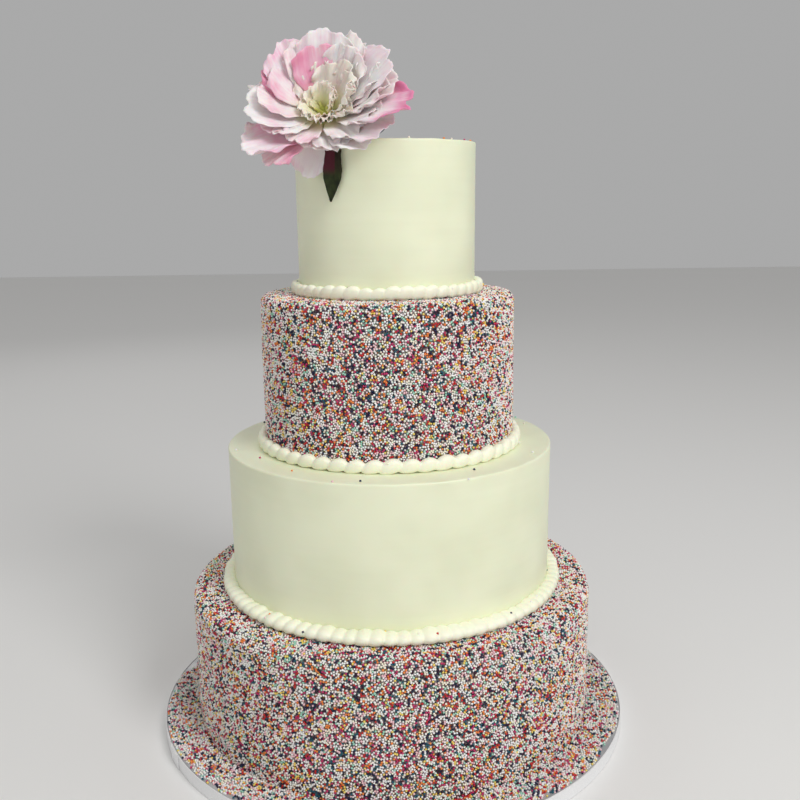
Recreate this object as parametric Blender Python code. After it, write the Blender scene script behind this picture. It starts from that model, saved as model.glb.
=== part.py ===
"""Four-tier wedding cake on its drum board, with a silk peony on the front left of the top tier.

Metres, +Z up. The origin is the centre of the board's underside, and the front faces -Y.
"""

import math

import bmesh
import bpy
from mathutils import Vector

# Driving dimensions.
GAP = 0.0003  # left between pieces that touch
BOARD_RADIUS = 0.2286  # an 18 inch drum
BOARD_THICK = 0.0130
RIBBON_THICK = 0.0008
TIER_SEGMENTS = 60

# name, radius, height, rounding of the top edge, flare of the top over the base
TIERS = (
    ("bottom_tier", 0.1950, 0.1300, 0.0090, 0.0000),
    ("lower_tier", 0.1550, 0.1360, 0.0022, 0.0003),
    ("upper_tier", 0.1190, 0.1430, 0.0070, 0.0000),
    ("top_tier", 0.0822, 0.1340, 0.0018, 0.0006),
)

# name, tier that it runs round, thickness out from the tier, height, beads, sections for each bead
BORDERS = (
    ("lower_border", "lower_tier", 0.0125, 0.0125, 92, 2),
    ("upper_border", "upper_tier", 0.0088, 0.0150, 49, 3),
    ("top_border", "top_tier", 0.0088, 0.0140, 46, 3),
)

BLOOM_BASE = Vector((-0.0500, -0.0600, 0.0200))  # above the middle of the top tier's top
BLOOM_AXIS = Vector((-0.10, -0.70, 0.71)).normalized()
PETAL_THICK = 0.0006

# name, turn round the bloom (0 is up and back, 90 is right), angle from the bloom's axis,
# bend along the petal, length, width, distance of its root along the axis
PETALS = (
    ("petal_top", 2, 46, -6, 0.057, 0.046, 0.0050),
    ("petal_upper_right", 72, 54, -6, 0.068, 0.044, 0.0030),
    ("petal_right", 104, 65, -4, 0.075, 0.042, 0.0020),
    ("petal_lower_right", 118, 78, 2, 0.060, 0.042, 0.0005),
    ("petal_bottom", 132, 88, 4, 0.047, 0.042, -0.0010),
    ("petal_lower_left", 236, 86, 4, 0.068, 0.044, -0.0006),
    ("petal_left", 262, 70, 0, 0.059, 0.050, 0.0012),
    ("petal_upper_left", 318, 54, -6, 0.062, 0.050, 0.0030),
    ("petal_back_left", 322, 84, -6, 0.058, 0.046, -0.0010),
    ("petal_back_right", 34, 84, -6, 0.058, 0.046, -0.0010),
    ("petal_hanging", 204, 122, 8, 0.044, 0.036, -0.0030),
)


def clear_scene():
    for obj in list(bpy.data.objects):
        bpy.data.objects.remove(obj, do_unlink=True)


def material(name, colour, roughness):
    made = bpy.data.materials.new(name)
    made.use_nodes = True
    surface = made.node_tree.nodes["Principled BSDF"]
    surface.inputs["Base Color"].default_value = (*colour, 1.0)
    surface.inputs["Roughness"].default_value = roughness
    surface.inputs["Metallic"].default_value = 0.0
    return made


def add_object(name, points, edges, faces, finish):
    mesh = bpy.data.meshes.new(name)
    mesh.from_pydata(points, edges, faces)
    obj = bpy.data.objects.new(name, mesh)
    obj.data.materials.append(finish)
    bpy.context.scene.collection.objects.link(obj)
    return obj


def face_outwards(obj):
    shape = bmesh.new()
    shape.from_mesh(obj.data)
    bmesh.ops.recalc_face_normals(shape, faces=shape.faces)
    shape.to_mesh(obj.data)
    shape.free()


def turned(name, profile, finish, closed=False):
    """A piece turned on +Z from (radius, height) points that run from its top down its outer side."""
    points = [(radius, 0.0, height) for radius, height in profile]
    edges = [(i, i + 1) for i in range(len(points) - 1)]
    if closed:
        edges.append((len(points) - 1, 0))
    obj = add_object(name, points, edges, [], finish)
    screw = obj.modifiers.new("turn", "SCREW")
    screw.steps = TIER_SEGMENTS
    screw.render_steps = TIER_SEGMENTS
    screw.use_merge_vertices = True
    screw.merge_threshold = 1e-5
    screw.use_smooth_shade = True
    return obj


def tier_profile(radius, height, rounding, flare):
    """Flat top, rounded top edge and a side that leans in by the flare towards the base."""
    top_radius = radius + flare
    flare_height = 0.75 * height
    steps = 3
    points = [(0.0, height)]
    for i in range(steps + 1):
        angle = math.radians(90.0 * (1.0 - i / steps))
        points.append(
            (
                top_radius - rounding + rounding * math.cos(angle),
                height - rounding + rounding * math.sin(angle),
            )
        )
    points.append((radius, flare_height))
    points.append((radius, 0.0))
    points.append((0.0, 0.0))
    return points


def piped_border(name, wall_radius, thick, high, beads, sections, finish):
    """A ring of piped beads: one cross-section that swells to a bead and thins between two."""
    outline = ((0.00, 0.00), (0.82, 0.00), (1.00, 0.42), (0.64, 0.90), (0.00, 1.00))
    swell = {2: (0.70, 1.00), 3: (0.68, 1.00, 0.92)}[sections]
    lean = 0.12  # share of a bead's pitch by which its top lags behind its foot
    points = []
    count = beads * sections
    for i in range(count):
        size = swell[i % sections]
        for out, up in outline:
            angle = 2.0 * math.pi * (i + lean * sections * up) / count
            reach = wall_radius + GAP + thick * size * out
            lift = high * size * up
            points.append((reach * math.cos(angle), reach * math.sin(angle), lift))
    corners = len(outline)
    faces = []
    for i in range(count):
        here = i * corners
        after = ((i + 1) % count) * corners
        for j in range(corners):
            k = (j + 1) % corners
            faces.append((here + j, after + j, after + k, here + k))
    obj = add_object(name, points, [], faces, finish)
    face_outwards(obj)
    return obj


def bloom_frame():
    """The bloom's axis, the way up its face, and its right."""
    right = Vector((0.0, 0.0, 1.0)).cross(BLOOM_AXIS).normalized()
    up = BLOOM_AXIS.cross(right)
    return BLOOM_AXIS, up, right


def petal_points(turn, lean, bend, length, width, root, rows, columns):
    """A grid of points on one cupped petal, root row first, in metres from the bloom's base."""
    axis, up, right = bloom_frame()
    out = math.cos(math.radians(turn)) * up + math.sin(math.radians(turn)) * right
    across = axis.cross(out)
    root_radius = 0.0105
    claw = 0.15  # width at the root as a share of the full width
    widening = 0.72  # how soon the petal reaches its full width
    rounding = 0.22  # how far the tip's corners are cut back, as a share of the length
    cup = 0.10
    spine = out * root_radius + axis * root
    points = []
    step = length / rows
    for i in range(rows + 1):
        share = i / rows
        angle = math.radians(lean + bend * share)
        forward = axis * math.cos(angle) + out * math.sin(angle)
        inward = axis * math.sin(angle) - out * math.cos(angle)
        swell = math.sin(math.pi * min(0.5, widening * share))
        half = 0.5 * width * (claw + (1.0 - claw) * swell)
        for j in range(columns + 1):
            side = 2.0 * j / columns - 1.0
            tip = -rounding * length * side * side * share
            lift = cup * half * side * side
            points.append(spine + across * side * half + forward * tip + inward * lift)
        spine = spine + forward * step
    return points


def petal(name, place, turn, lean, bend, length, width, root, finish):
    rows = 5
    columns = 4
    points = [p + place for p in petal_points(turn, lean, bend, length, width, root, rows, columns)]
    faces = []
    for i in range(rows):
        for j in range(columns):
            a = i * (columns + 1) + j
            faces.append((a, a + 1, a + columns + 2, a + columns + 1))
    obj = add_object(name, points, [], faces, finish)
    wall = obj.modifiers.new("cloth thickness", "SOLIDIFY")
    wall.thickness = PETAL_THICK
    wall.offset = 0.0
    return obj


def peony_heart(place, finish):
    """The packed inner petals: a lobed cup that widens from the base and closes over at the top."""
    axis, up, right = bloom_frame()
    profile = (
        (0.006, 0.000),
        (0.012, 0.012),
        (0.022, 0.027),
        (0.028, 0.042),
        (0.024, 0.054),
        (0.012, 0.058),
    )
    around = 24
    lobes = 6
    lobe_depth = 0.025  # grows with each level, as a share of the radius
    lobe_twist = 0.5
    shape = bmesh.new()
    rings = []
    for level, (radius, height) in enumerate(profile):
        ring = []
        for i in range(around):
            angle = 2.0 * math.pi * i / around
            ruffle = 1.0 + lobe_depth * level * math.cos(lobes * angle + lobe_twist * level)
            sideways = up * math.cos(angle) + right * math.sin(angle)
            ring.append(shape.verts.new(place + axis * height + sideways * radius * ruffle))
        rings.append(ring)
    for low, high in zip(rings, rings[1:]):
        for i in range(around):
            k = (i + 1) % around
            shape.faces.new((low[i], low[k], high[k], high[i]))
    shape.faces.new(rings[0])
    shape.faces.new(rings[-1])
    bmesh.ops.recalc_face_normals(shape, faces=shape.faces)
    mesh = bpy.data.meshes.new("peony_heart")
    shape.to_mesh(mesh)
    shape.free()
    obj = bpy.data.objects.new("peony_heart", mesh)
    obj.data.materials.append(finish)
    bpy.context.scene.collection.objects.link(obj)
    return obj


def calyx_and_stem(place, top_height, finish):
    """The green cup behind the petals and the stem that runs down from it to the cake's top."""
    around = 16
    stem_radius = 0.0024
    drop = place.z - top_height - GAP
    reach = drop / BLOOM_AXIS.z - stem_radius
    profile = (
        (0.0000, -0.0040),
        (0.0085, -0.0048),
        (0.0080, -0.0075),
        (0.0045, -0.0120),
        (stem_radius, -0.0150),
        (stem_radius, -reach),
        (0.0000, -reach),
    )
    obj = turned("peony_calyx", profile, finish)
    obj.modifiers["turn"].steps = around
    obj.modifiers["turn"].render_steps = around
    obj.location = place
    obj.rotation_mode = "QUATERNION"
    obj.rotation_quaternion = BLOOM_AXIS.to_track_quat("Z", "Y")
    return obj


def leaf(name, spine, widths, side, thick, finish):
    """A leaf blade along a line of points, as wide as given at each, with a fold along its middle."""
    points = []
    fold = 0.18
    for i, (place, width) in enumerate(zip(spine, widths)):
        before = spine[max(i - 1, 0)]
        after = spine[min(i + 1, len(spine) - 1)]
        along = (after - before).normalized()
        across = (side - along * side.dot(along)).normalized()
        raised = along.cross(across)
        half = 0.5 * width
        points.append(place - across * half + raised * fold * half)
        points.append(place)
        points.append(place + across * half + raised * fold * half)
    faces = []
    for i in range(len(spine) - 1):
        for j in range(2):
            a = 3 * i + j
            faces.append((a, a + 1, a + 4, a + 3))
    obj = add_object(name, points, [], faces, finish)
    wall = obj.modifiers.new("blade thickness", "SOLIDIFY")
    wall.thickness = thick
    wall.offset = 0.0
    return obj


def main():
    clear_scene()
    ivory = material("ivory buttercream", (0.86, 0.85, 0.70), 0.45)
    coated = material("nonpareil coat", (0.60, 0.45, 0.45), 0.50)
    white_foil = material("board foil", (0.80, 0.80, 0.78), 0.35)
    ribbon = material("white ribbon", (0.85, 0.85, 0.85), 0.40)
    silk = material("blush silk", (0.85, 0.70, 0.72), 0.70)
    green = material("dark leaf", (0.05, 0.09, 0.04), 0.60)

    drum_side = (
        (0.0, BOARD_THICK),
        (BOARD_RADIUS, BOARD_THICK),
        (BOARD_RADIUS, 0.0),
        (0.0, 0.0),
    )
    turned("board_drum", drum_side, white_foil)
    inner = BOARD_RADIUS + GAP
    outer = inner + RIBBON_THICK
    ribbon_side = (
        (inner, BOARD_THICK),
        (outer, BOARD_THICK),
        (outer, GAP),
        (inner, GAP),
    )
    turned("board_ribbon", ribbon_side, ribbon, closed=True)

    base = BOARD_THICK
    foot_of = {}
    radius_of = {}
    for name, radius, height, rounding, flare in TIERS:
        finish = coated if name in ("bottom_tier", "upper_tier") else ivory
        tier = turned(name, tier_profile(radius, height - GAP, rounding, flare), finish)
        tier.location.z = base + GAP
        foot_of[name] = base
        radius_of[name] = radius
        base += height
    cake_top = base

    for name, tier_name, thick, high, beads, sections in BORDERS:
        ring = piped_border(name, radius_of[tier_name], thick, high, beads, sections, ivory)
        ring.location.z = foot_of[tier_name] + GAP

    place = BLOOM_BASE + Vector((0.0, 0.0, cake_top))
    for name, turn, lean, bend, length, width, root in PETALS:
        petal(name, place, turn, lean, bend, length, width, root, silk)
    peony_heart(place, silk)
    calyx_and_stem(place, cake_top, green)

    front_spine = [
        Vector((-0.0410, -0.0665, cake_top + 0.0080)),
        Vector((-0.0425, -0.0755, cake_top + 0.0000)),
        Vector((-0.0437, -0.0765, cake_top - 0.0130)),
        Vector((-0.0447, -0.0752, cake_top - 0.0300)),
        Vector((-0.0465, -0.0740, cake_top - 0.0500)),
    ]
    leaf("leaf_front", front_spine, (0.004, 0.011, 0.013, 0.015, 0.002), Vector((1, 0, 0)), 0.0008, green)
    back_spine = [
        Vector((-0.0380, -0.0440, cake_top + 0.0060)),
        Vector((-0.0200, -0.0420, cake_top + 0.0090)),
        Vector((-0.0050, -0.0400, cake_top + 0.0140)),
        Vector((0.0070, -0.0390, cake_top + 0.0190)),
    ]
    leaf("leaf_back", back_spine, (0.005, 0.014, 0.012, 0.002), Vector((0, 0.6, 0.8)), 0.0008, green)


main()
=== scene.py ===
import math
from random import Random

import bpy
from mathutils import Matrix, Vector, noise


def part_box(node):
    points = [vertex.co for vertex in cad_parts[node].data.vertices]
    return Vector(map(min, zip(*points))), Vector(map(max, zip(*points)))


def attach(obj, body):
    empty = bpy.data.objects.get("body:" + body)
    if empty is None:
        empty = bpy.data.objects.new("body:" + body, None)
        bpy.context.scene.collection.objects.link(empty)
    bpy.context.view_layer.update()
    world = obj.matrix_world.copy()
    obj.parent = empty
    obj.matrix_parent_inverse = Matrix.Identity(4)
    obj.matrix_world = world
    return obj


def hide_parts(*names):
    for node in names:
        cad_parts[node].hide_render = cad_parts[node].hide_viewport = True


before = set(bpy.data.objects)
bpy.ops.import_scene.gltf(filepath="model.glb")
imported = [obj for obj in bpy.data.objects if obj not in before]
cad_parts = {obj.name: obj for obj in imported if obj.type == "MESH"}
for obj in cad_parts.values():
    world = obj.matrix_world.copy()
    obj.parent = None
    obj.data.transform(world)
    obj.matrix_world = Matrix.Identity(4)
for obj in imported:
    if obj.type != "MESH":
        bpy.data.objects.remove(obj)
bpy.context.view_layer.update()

# ---------------------------------------------------------------------------
# The drum board: a thick round of pressed card wrapped in silvery embossed foil.
# The foil shows in worn patches near the rim, where the sugar beads thin out.
# ---------------------------------------------------------------------------


def linear(red, green, blue):
    """A colour as a painter's chart gives it, 0 to 255, turned to the light values that a shader takes."""
    shares = [value / 255.0 for value in (red, green, blue)]
    return tuple(s / 12.92 if s <= 0.04045 else ((s + 0.055) / 1.055) ** 2.4 for s in shares) + (1.0,)


def laid_mesh(name, points, faces):
    """A new mesh object at the origin, smooth shaded, with its place in its points."""
    mesh = bpy.data.meshes.new(name)
    mesh.from_pydata(points, [], faces)
    mesh.update()
    mesh.shade_smooth()
    piece = bpy.data.objects.new(name, mesh)
    bpy.context.scene.collection.objects.link(piece)
    return piece


def turned_points(profile, around, unevenness):
    """Points of a turned shape from a profile that starts and ends on the axis, top first."""
    points = [unevenness(Vector((0.0, 0.0, profile[0][1])))]
    for radius, height in profile[1:-1]:
        for step in range(around):
            angle = 2.0 * math.pi * step / around
            points.append(unevenness(Vector((radius * math.cos(angle), radius * math.sin(angle), height))))
    points.append(unevenness(Vector((0.0, 0.0, profile[-1][1]))))
    return points


def turned_faces(rings, around):
    """Faces for turned_points: a fan at the top, bands down the side and a fan underneath."""
    faces = [(0, 1 + step, 1 + (step + 1) % around) for step in range(around)]
    for ring in range(rings - 1):
        here = 1 + ring * around
        below = here + around
        for step in range(around):
            after = (step + 1) % around
            faces.append((here + step, below + step, below + after, here + after))
    last = 1 + (rings - 1) * around
    bottom = 1 + rings * around
    faces += [(bottom, last + (step + 1) % around, last + step) for step in range(around)]
    return faces


def turned_piece(name, profile, around, unevenness):
    points = turned_points(profile, around, unevenness)
    return laid_mesh(name, points, turned_faces(len(profile) - 2, around))


def rounded_corner(radius, height, rounding, steps):
    """Profile points over a convex top edge, from the flat top round to the side."""
    corner = []
    for step in range(steps + 1):
        angle = 0.5 * math.pi * (1.0 - step / steps)
        corner.append(
            (
                radius - rounding + rounding * math.cos(angle),
                height - rounding + rounding * math.sin(angle),
            )
        )
    return corner


def new_finish(name):
    """A material with its node tree and its Principled shader."""
    finish = bpy.data.materials.new(name)
    finish.use_nodes = True
    tree = finish.node_tree
    return finish, tree, tree.nodes["Principled BSDF"]


def added(tree, kind, **settings):
    """A node with its own settings, such as operation or data_type, already made."""
    node = tree.nodes.new(kind)
    for name, value in settings.items():
        setattr(node, name, value)
    return node


def wired(node_from, output, node_to, target):
    """Runs one node's output to another's input, in the tree that both are in."""
    node_from.id_data.links.new(node_from.outputs[output], node_to.inputs[target])


def preset(node, values):
    """Sets a node's inputs, by name or number."""
    for name, value in values.items():
        node.inputs[name].default_value = value


def object_grain(tree, kind, scale, stretch=(1.0, 1.0, 1.0), **settings):
    """A texture node on the piece's own coordinates, with the grain drawn out along an axis."""
    place = added(tree, "ShaderNodeTexCoord")
    mapping = added(tree, "ShaderNodeMapping")
    preset(mapping, {"Scale": stretch})
    texture = added(tree, kind, **settings)
    preset(texture, {"Scale": scale})
    wired(place, "Object", mapping, "Vector")
    wired(mapping, "Vector", texture, "Vector")
    return texture


def colour_ramp(tree, stops, interpolation="LINEAR"):
    """A colour ramp from (place, colour) stops."""
    ramp = added(tree, "ShaderNodeValToRGB")
    ramp.color_ramp.interpolation = interpolation
    elements = ramp.color_ramp.elements
    while len(elements) < len(stops):
        elements.new(0.5)
    for element, (place, colour) in zip(elements, stops):
        element.position = place
        element.color = colour
    return ramp


def add_bump(tree, shader, height, strength, distance):
    """Relief on the shader's normal, from a height output; several are chained."""
    bump = added(tree, "ShaderNodeBump")
    preset(bump, {"Strength": strength, "Distance": distance})
    tree.links.new(height, bump.inputs["Height"])
    normal = shader.inputs["Normal"]
    if normal.is_linked:
        tree.links.new(normal.links[0].from_socket, bump.inputs["Normal"])
    tree.links.new(bump.outputs["Normal"], normal)


def settle(piece, slot, *nodes):
    """The piece rides on the cake and stands for its CAD nodes, which are hidden. The slot is not used."""
    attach(piece, "root")
    if nodes:
        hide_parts(*nodes)


drum_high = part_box("board_drum")[1]
board_radius = drum_high.x
board_top = drum_high.z
foil_around = 256
foil_edge = 0.0012
foil_shares = (0.0, 0.3, 0.6, 0.8, 0.9, 0.96)  # where the rings of points lie across the top
foil_slack = 0.00025
foil_crinkles = 45.0  # in a metre
foil_rings = [(board_radius * share, board_top) for share in foil_shares]
foil_rings += rounded_corner(board_radius, board_top, foil_edge, 4)
foil_rings += [(board_radius, foil_edge), (board_radius - foil_edge, 0.0), (0.0, 0.0)]


def slack_foil(spot):
    """Foil that lies a little loose on the card."""
    if spot.z < board_top - foil_edge:
        return spot
    return spot + Vector((0.0, 0.0, -foil_slack * (1.0 + noise.noise(spot * foil_crinkles))))


foil = turned_piece("board_foil", foil_rings, foil_around, slack_foil)
foil_finish, foil_tree, foil_shader = new_finish("embossed silver foil")
foil_emboss = object_grain(foil_tree, "ShaderNodeTexVoronoi", 260.0, feature="SMOOTH_F1")
foil_crease = object_grain(foil_tree, "ShaderNodeTexNoise", 38.0)
foil_tone = colour_ramp(foil_tree, ((0.30, linear(176, 177, 180)), (0.70, linear(212, 212, 211))))
wired(foil_crease, "Fac", foil_tone, "Fac")
wired(foil_tone, "Color", foil_shader, "Base Color")
preset(foil_shader, {"Metallic": 0.55, "Roughness": 0.38})
add_bump(foil_tree, foil_shader, foil_emboss.outputs["Distance"], strength=0.35, distance=0.0006)
foil.data.materials.append(foil_finish)
settle(foil, "board_foil", "board_drum")

# ---------------------------------------------------------------------------
# The ribbon: white satin, as wide as the board is thick and glued round its edge.
# Its end laps over its beginning at the front left, and one edge of it stands proud.
# ---------------------------------------------------------------------------

ribbon_low, ribbon_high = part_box("board_ribbon")
ribbon_inner = board_radius + 0.0001
ribbon_thick = 0.0007
ribbon_lap_at = math.radians(204.0)
ribbon_lap = math.radians(7.0)
ribbon_steps = 420
ribbon_levels = 7
ribbon_looseness = 0.00012
ribbon_ripples = 8.0  # how often it ripples round the board
ribbon_creases = 60.0  # and up its width, in a metre
ribbon_stands_off = 0.0009  # how far the lap stands off the ribbon under it
ribbon_lifts_in = 5.0  # the lap has lifted fully after one part in this many


def ribbon_point(turn, level, outside):
    """A point of the ribbon: turn runs from 0 to 1 along it, level from foot to top edge."""
    angle = ribbon_lap_at + turn * (2.0 * math.pi + ribbon_lap)
    lapped = max(0.0, (turn * (2.0 * math.pi + ribbon_lap) - 2.0 * math.pi) / ribbon_lap)
    height = ribbon_low.z + (ribbon_high.z - ribbon_low.z) * level
    ripple = (ribbon_ripples * math.cos(angle), ribbon_ripples * math.sin(angle), ribbon_creases * height)
    loose = ribbon_looseness * noise.noise(Vector(ripple))
    lifted = ribbon_stands_off * min(1.0, ribbon_lifts_in * lapped)
    radius = ribbon_inner + loose + lifted + outside * ribbon_thick
    return Vector((radius * math.cos(angle), radius * math.sin(angle), height))


ribbon_points = []
for step in range(ribbon_steps + 1):
    for outside in (1, 0):
        for level in range(ribbon_levels):
            share = level / (ribbon_levels - 1)
            if not outside:
                share = 1.0 - share
            ribbon_points.append(ribbon_point(step / ribbon_steps, share, outside))
ribbon_loop = 2 * ribbon_levels
ribbon_faces = []
for step in range(ribbon_steps):
    for level in range(ribbon_loop):
        here = step * ribbon_loop + level
        above = step * ribbon_loop + (level + 1) % ribbon_loop
        ribbon_faces.append((here, here + ribbon_loop, above + ribbon_loop, above))
ribbon_faces.append(tuple(range(ribbon_loop)))
ribbon_faces.append(tuple(reversed([ribbon_steps * ribbon_loop + level for level in range(ribbon_loop)])))
ribbon = laid_mesh("board_ribbon_satin", ribbon_points, ribbon_faces)
ribbon.data.set_sharp_from_angle(angle=math.radians(40.0))
satin, satin_tree, satin_shader = new_finish("white satin ribbon")
satin_weave = object_grain(satin_tree, "ShaderNodeTexNoise", 900.0, (1.0, 1.0, 6.0))
satin_tone = colour_ramp(satin_tree, ((0.35, linear(228, 228, 230)), (0.65, linear(247, 247, 246))))
wired(satin_weave, "Fac", satin_tone, "Fac")
wired(satin_tone, "Color", satin_shader, "Base Color")
preset(satin_shader, {"Roughness": 0.36, "Sheen Weight": 0.3})
add_bump(satin_tree, satin_shader, satin_weave.outputs["Fac"], strength=0.2, distance=0.0003)
ribbon.data.materials.append(satin)
settle(ribbon, "ribbon", "board_ribbon")

# ---------------------------------------------------------------------------
# The coated tiers: the bottom tier and the one below the top. Each is a round cake iced with
# soft buttercream and rolled in nonpareils while it was wet, so its top edge is softly rounded.
# This is the bed: the icing with the first beads pressed flat into it. It is painted darker all over and
# near black at the cell edges, as painted shade under and between the beads.
# ---------------------------------------------------------------------------

# name, colour, share of the mix
SUGAR_COLOURS = (
    ("white", linear(255, 254, 252), 0.315),
    ("cream", linear(254, 248, 230), 0.150),
    ("blush", linear(252, 208, 214), 0.105),
    ("magenta", linear(200, 48, 110), 0.055),
    ("red", linear(206, 38, 42), 0.055),
    ("orange", linear(248, 142, 66), 0.062),
    ("yellow", linear(252, 222, 112), 0.050),
    ("mint", linear(168, 224, 202), 0.050),
    ("turquoise", linear(16, 92, 112), 0.045),
    ("navy", linear(12, 18, 66), 0.078),
    ("plum", linear(44, 14, 46), 0.035),
)
bead_radius = 0.00128  # to the corners of a bead, whose faces lie nearer its middle
coat_depth = 0.0011  # how far the bed lies under the outside of the beads
coat_around = 220
side_rows = 34
coat_corner_steps = 7
coat_shares = (0.35, 0.6, 0.72, 0.80, 0.86, 0.91)  # rings of points across the top
coat_swells = ((0.00055, 22.0), (0.00025, 75.0))  # how far the coat swells, and how often in a metre
coat_rise = 0.4  # the share of a swell that goes upward


def coat_profile(node, rounding):
    low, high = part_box(node)
    radius = high.x - coat_depth
    top = high.z - coat_depth
    profile = [(0.0, top)]
    profile += [(radius * share, top) for share in coat_shares]
    profile += rounded_corner(radius, top, rounding, coat_corner_steps)
    foot = low.z
    for row in range(1, side_rows + 1):
        profile.append((radius, top - rounding + (foot - top + rounding) * row / side_rows))
    profile.append((0.0, foot))
    return profile


def patted_coat(spot):
    """The coat was patted on by hand, so it swells and sinks a little."""
    out = Vector((spot.x, spot.y, 0.0))
    if out.length < 1e-6:
        return spot
    swell = sum(size * noise.noise(spot * often) for size, often in coat_swells)
    return spot + out.normalized() * swell + Vector((0.0, 0.0, coat_rise * swell))


bed_finish, bed_tree, bed_shader = new_finish("sugar beads pressed in icing")
bed_cells = object_grain(bed_tree, "ShaderNodeTexVoronoi", 560.0)
bed_stops = []
bed_share = 0.0
for _, colour, share in SUGAR_COLOURS:
    bed_stops.append((bed_share, colour))
    bed_share += share
bed_colour = colour_ramp(bed_tree, bed_stops, "CONSTANT")
bed_pick = added(bed_tree, "ShaderNodeSeparateColor")
wired(bed_cells, "Color", bed_pick, "Color")
wired(bed_pick, "Red", bed_colour, "Fac")
# Painted shade: the bed darkens all over, and most in the gaps between the cells, where the beads shade
# each other.
bed_gap_shadow = colour_ramp(bed_tree, ((0.20, (0.34, 0.28, 0.27, 1.0)), (0.55, (0.02, 0.012, 0.015, 1.0))))
wired(bed_cells, "Distance", bed_gap_shadow, "Fac")
bed_shade = added(bed_tree, "ShaderNodeMix", data_type="RGBA", blend_type="MULTIPLY")
preset(bed_shade, {"Factor": 0.85})
wired(bed_colour, "Color", bed_shade, "A")
wired(bed_gap_shadow, "Color", bed_shade, "B")
wired(bed_shade, "Result", bed_shader, "Base Color")
preset(bed_shader, {"Roughness": 0.5})
bed_relief = added(bed_tree, "ShaderNodeMath", operation="SUBTRACT")
preset(bed_relief, {0: 1.0})
wired(bed_cells, "Distance", bed_relief, 1)
add_bump(bed_tree, bed_shader, bed_relief.outputs["Value"], strength=0.7, distance=0.0008)

coated_tiers = []
for node, rounding in (("bottom_tier", 0.0085), ("upper_tier", 0.0065)):
    tier = turned_piece(node + "_coat", coat_profile(node, rounding), coat_around, patted_coat)
    tier.data.materials.append(bed_finish)
    settle(tier, "nonpareil_coat", node)
    coated_tiers.append(tier)

# ---------------------------------------------------------------------------
# The smooth tiers: the top tier and the one above the bottom. Each is iced with ivory
# buttercream, dragged smooth with a metal scraper and chilled, so its top edge is crisp.
# The scraper leaves faint level streaks, and a finger has marked the top tier's rim.
# ---------------------------------------------------------------------------

scraped_around = 300
scraped_rows = 40
scraped_corner_steps = 6
scraped_shares = (0.25, 0.45, 0.6, 0.72, 0.82, 0.9, 0.95)  # rings of points across the top
foot_inset = 0.0005  # the scraper leant in a little at the foot
side_swells = ((0.00030, 14.0, 22.0), (0.00010, 30.0, 160.0))  # how far, how often round, how often up
rim_depth = 0.004
rim_from = 0.9
rim_width = 0.1
rim_ridge = 0.00035
rim_level = 0.6
rim_waves = ((1.0, 60.0), (0.5, 170.0))  # share, how often in a metre
flat_swell = 0.00018
flat_often = 55.0
flat_layer = 3.0  # any one level of the noise
on_top = 0.0001
# place from the axis, depth under the rim, size of the mark, and how deep it goes
finger_marks = (
    (0.052, -0.064, 0.0035, 0.0045, 0.00055),
    (0.044, -0.070, 0.0060, 0.0030, 0.00040),
    (0.061, -0.055, 0.0020, 0.0035, 0.00045),
)


def scraped_profile(node, rounding):
    low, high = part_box(node)
    radius = high.x
    foot_radius = radius - foot_inset
    profile = [(0.0, high.z)]
    profile += [(radius * share, high.z) for share in scraped_shares]
    profile += rounded_corner(radius, high.z, rounding, scraped_corner_steps)
    start = high.z - rounding
    for row in range(1, scraped_rows + 1):
        share = row / scraped_rows
        lean = foot_radius + (radius - foot_radius) * (1.0 - share) ** 2
        profile.append((lean, start + (low.z - start) * share))
    profile.append((0.0, low.z))
    return profile


def scraped_icing(top, radius, marks):
    """Slight swells along the side, a rim that isn't quite level, and shallow marks near it."""

    def shift(spot):
        out = Vector((spot.x, spot.y, 0.0))
        if out.length < 1e-6:
            return spot
        reach = out.length
        out.normalize()
        swell = 0.0
        for size, often, rise in side_swells:
            swell += size * noise.noise(Vector((spot.x * often, spot.y * often, spot.z * rise)))
        near_rim = max(0.0, 1.0 - (top - spot.z) / rim_depth)
        near_rim *= max(0.0, (reach / radius - rim_from) / rim_width)
        waves = rim_level
        for share, often in rim_waves:
            waves += share * noise.noise(spot * often)
        ridge = rim_ridge * near_rim * waves
        for across, toward, under, size, depth in marks:
            share = (spot - Vector((across, toward, top - under))).length / size
            swell -= depth * math.exp(-share * share)
        flat = flat_swell * noise.noise(Vector((spot.x * flat_often, spot.y * flat_often, flat_layer)))
        lift = ridge + (flat if spot.z > top - on_top else 0.0)
        return spot + out * swell + Vector((0.0, 0.0, lift))

    return shift


def buttercream(name, light, dark):
    """Ivory buttercream: warm off-white with a soft, uneven satin shine and the faintest drag marks."""
    finish, tree, shader = new_finish(name)
    cloud = object_grain(tree, "ShaderNodeTexNoise", 16.0)
    streak = object_grain(tree, "ShaderNodeTexNoise", 30.0, (0.35, 0.35, 6.0))
    blend = added(tree, "ShaderNodeMath", operation="MULTIPLY_ADD")
    wired(streak, "Fac", blend, 0)
    preset(blend, {1: 0.15})
    wired(cloud, "Fac", blend, 2)
    tone = colour_ramp(tree, ((0.42, dark), (0.72, light)))
    wired(blend, "Value", tone, "Fac")
    wired(tone, "Color", shader, "Base Color")
    shine = added(tree, "ShaderNodeMapRange")
    preset(shine, {"From Min": 0.35, "From Max": 0.65, "To Min": 0.36, "To Max": 0.50})
    wired(cloud, "Fac", shine, "Value")
    wired(shine, "Result", shader, "Roughness")
    preset(shader, {"Subsurface Weight": 0.15, "Subsurface Scale": 0.002})
    add_bump(tree, shader, streak.outputs["Fac"], strength=0.10, distance=0.0006)
    return finish


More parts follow.
